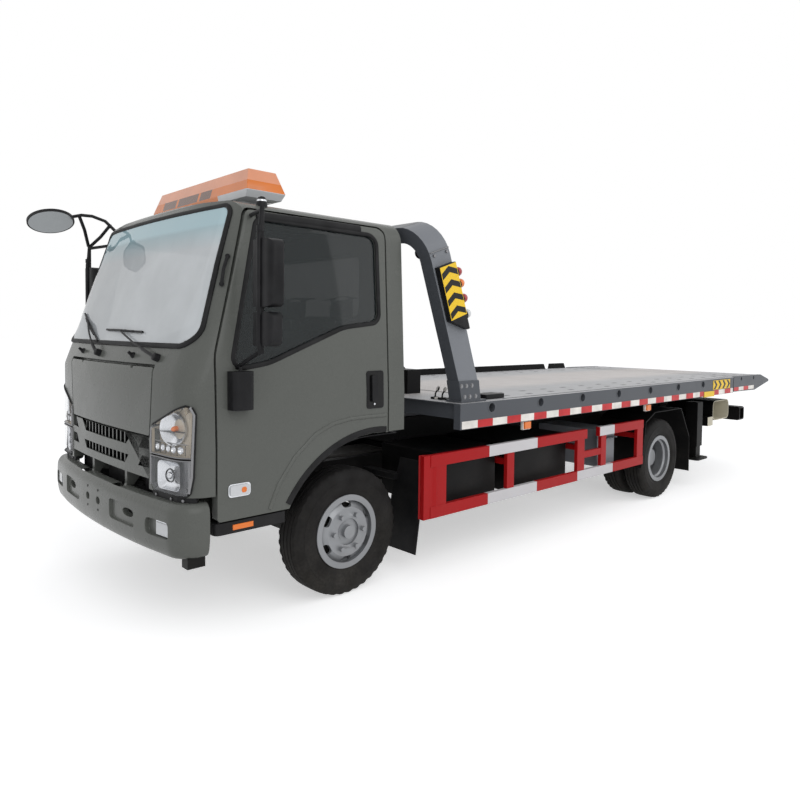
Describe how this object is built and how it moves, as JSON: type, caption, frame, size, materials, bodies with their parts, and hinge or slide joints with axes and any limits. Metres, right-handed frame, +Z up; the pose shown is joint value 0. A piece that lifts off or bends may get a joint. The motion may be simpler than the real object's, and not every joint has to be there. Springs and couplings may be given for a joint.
{
  "type": "slide-bed tow truck",
  "caption": "Slide-bed recovery truck on a tilt-cab chassis with a sloping tail, hoop, winch, wheel lift, outriggers, doors and steering",
  "frame": {"origin": "on the ground under the middle of the truck's length and width", "axes": "+X forward, +Y to the truck's left, +Z up"},
  "size_m": [7.68, 2.67, 2.5764],
  "materials": {
    "black_paint": "satin black paint",
    "cast_block": "dusty cast iron",
    "cab_paint": "semi-gloss grey-green paint",
    "bed_paint": "semi-gloss grey paint",
    "red_paint": "gloss red paint with white stretches",
    "clear_lens": "clear lamp lens",
    "lamp_lens": "red and amber lenses",
    "amber_lens": "amber lens",
    "black_plastic": "grained black plastic",
    "seat_cloth": "dark grey cloth",
    "wheel_silver": "silver wheel paint",
    "tyre": "black rubber",
    "glass": "clear glass, faintly green",
    "chrome_rod": "polished chrome",
    "bare_steel": "worn bare steel"
  },
  "bodies": {
    "chassis": {"chassis_frame": "black_paint", "powertrain": "cast_block", "front_axle": "black_paint", "rear_axle": "black_paint", "leaf_springs": "black_paint", "front_bumper": "cab_paint", "chassis_lamps": "clear_lens", "side_guards": "red_paint", "tool_boxes": "black_paint", "control_box": "bed_paint", "front_mudguards": "black_plastic", "rear_fenders": "black_plastic", "outrigger_housings": "black_paint", "rear_beam": "black_paint"},
    "knuckle_left": {"knuckle_left": "black_paint"},
    "knuckle_right": {"knuckle_right": "black_paint"},
    "tie_rod": {"tie_rod": "black_paint"},
    "front_left_wheel": {"front_wheel_left": "wheel_silver", "front_tyre_left": "tyre"},
    "front_right_wheel": {"front_wheel_right": "wheel_silver", "front_tyre_right": "tyre"},
    "rear_left_wheels": {"rear_wheels_left": "wheel_silver", "rear_tyres_left": "tyre"},
    "rear_right_wheels": {"rear_wheels_right": "wheel_silver", "rear_tyres_right": "tyre"},
    "cab": {"cab_shell": "cab_paint", "cab_glass": "glass", "grille": "cab_paint", "headlamps": "clear_lens", "light_bar": "amber_lens", "seats": "seat_cloth", "dashboard": "black_plastic", "wipers": "black_plastic", "cab_steps": "black_plastic", "arch_liners": "black_plastic"},
    "lid": {"front_lid": "cab_paint"},
    "left_door": {"door_left": "cab_paint", "door_glass_left": "glass", "mirror_left": "black_plastic"},
    "right_door": {"door_right": "cab_paint", "door_glass_right": "glass", "mirror_right": "black_plastic"},
    "tilting_frame": {"tilt_frame": "bed_paint"},
    "barrels": {"tilt_barrels": "black_paint"},
    "rods": {"tilt_rods": "chrome_rod"},
    "bed": {"bed_deck": "bed_paint", "bed_tail": "bed_paint", "hoop": "bed_paint", "warning_boards": "black_plastic", "bed_lamps": "lamp_lens", "bed_rail": "black_paint", "winch_frame": "black_paint"},
    "drum": {"winch_drum": "bare_steel"},
    "left_outrigger": {"outrigger_leg_left": "bare_steel"},
    "right_outrigger": {"outrigger_leg_right": "bare_steel"},
    "boom": {"lift_boom": "black_paint"},
    "slider": {"lift_slider": "black_paint"},
    "cross_bar": {"lift_bar": "black_paint"}
  },
  "joints": [
    {"name": "steer_left", "type": "hinge", "parent": "chassis", "child": "knuckle_left", "pos_m": [2.6225, 0.72, 0.393], "axis": [0, 0, 1], "range_deg": [-35, 35]},
    {"name": "steer_right", "type": "hinge", "parent": "chassis", "child": "knuckle_right", "pos_m": [2.6225, -0.72, 0.393], "axis": [0, 0, 1], "range_deg": [-35, 35]},
    {"name": "tie_rod_swing", "type": "hinge", "parent": "knuckle_left", "child": "tie_rod", "pos_m": [2.4725, 0.72, 0.301], "axis": [0, 0, 1], "range_deg": [-35, 35]},
    {"name": "front_left_spin", "type": "hinge", "parent": "knuckle_left", "child": "front_left_wheel", "pos_m": [2.6225, 0.83, 0.393], "axis": [0, 1, 0], "continuous": true},
    {"name": "front_right_spin", "type": "hinge", "parent": "knuckle_right", "child": "front_right_wheel", "pos_m": [2.6225, -0.83, 0.393], "axis": [0, 1, 0], "continuous": true},
    {"name": "rear_left_spin", "type": "hinge", "parent": "chassis", "child": "rear_left_wheels", "pos_m": [-1.1925, 0.825, 0.393], "axis": [0, 1, 0], "continuous": true},
    {"name": "rear_right_spin", "type": "hinge", "parent": "chassis", "child": "rear_right_wheels", "pos_m": [-1.1925, -0.825, 0.393], "axis": [0, 1, 0], "continuous": true},
    {"name": "cab_tilt", "type": "hinge", "parent": "chassis", "child": "cab", "pos_m": [3.7075, 0, 0.705], "axis": [0, 1, 0], "range_deg": [0, 45]},
    {"name": "lid_open", "type": "hinge", "parent": "cab", "child": "lid", "pos_m": [3.7225, 0, 1.413], "axis": [0, -1, 0], "range_deg": [0, 70]},
    {"name": "left_door_open", "type": "hinge", "parent": "cab", "child": "left_door", "pos_m": [3.5135, 0.986, 1.3], "axis": [0, 0, -1], "range_deg": [0, 70]},
    {"name": "right_door_open", "type": "hinge", "parent": "cab", "child": "right_door", "pos_m": [3.5135, -0.986, 1.3], "axis": [0, 0, 1], "range_deg": [0, 70]},
    {"name": "bed_tilt", "type": "hinge", "parent": "chassis", "child": "tilting_frame", "pos_m": [-2.5775, 0, 0.87], "axis": [0, -1, 0], "range_deg": [0, 14.5]},
    {"name": "barrel_swing", "type": "hinge", "parent": "chassis", "child": "barrels", "pos_m": [-0.7275, 0, 0.615], "axis": [0, -1, 0], "range_deg": [0, 32.4]},
    {"name": "rod_slide", "type": "slide", "parent": "barrels", "child": "rods", "axis": [0.9758, 0, 0.2185], "range_m": [0, 0.2855]},
    {"name": "bed_slide", "type": "slide", "parent": "tilting_frame", "child": "bed", "axis": [-1, 0, 0], "range_m": [0, 2.94]},
    {"name": "winch_spin", "type": "hinge", "parent": "bed", "child": "drum", "pos_m": [1.5825, 0, 1.265], "axis": [0, 1, 0], "continuous": true},
    {"name": "left_outrigger_drop", "type": "slide", "parent": "chassis", "child": "left_outrigger", "axis": [0, 0, -1], "range_m": [0, 0.27]},
    {"name": "right_outrigger_drop", "type": "slide", "parent": "chassis", "child": "right_outrigger", "axis": [0, 0, -1], "range_m": [0, 0.27]},
    {"name": "boom_lower", "type": "hinge", "parent": "chassis", "child": "boom", "pos_m": [-2.2075, 0, 0.518], "axis": [0, -1, 0], "range_deg": [0, 14]},
    {"name": "boom_extend", "type": "slide", "parent": "boom", "child": "slider", "axis": [-1, 0, 0], "range_m": [0, 0.6]},
    {"name": "cross_bar_swing", "type": "hinge", "parent": "slider", "child": "cross_bar", "pos_m": [-3.3875, 0, 0.65], "axis": [0, 0, 1], "range_deg": [-16, 16]}
  ],
  "couplings": [
    {"joint": "steer_right", "follows": "steer_left", "ratio": 1},
    {"joint": "tie_rod_swing", "follows": "steer_left", "ratio": -1},
    {"joint": "barrel_swing", "follows": "bed_tilt", "ratio": 2.231},
    {"joint": "rod_slide", "follows": "bed_tilt", "m_per_rad": 1.125}
  ]
}
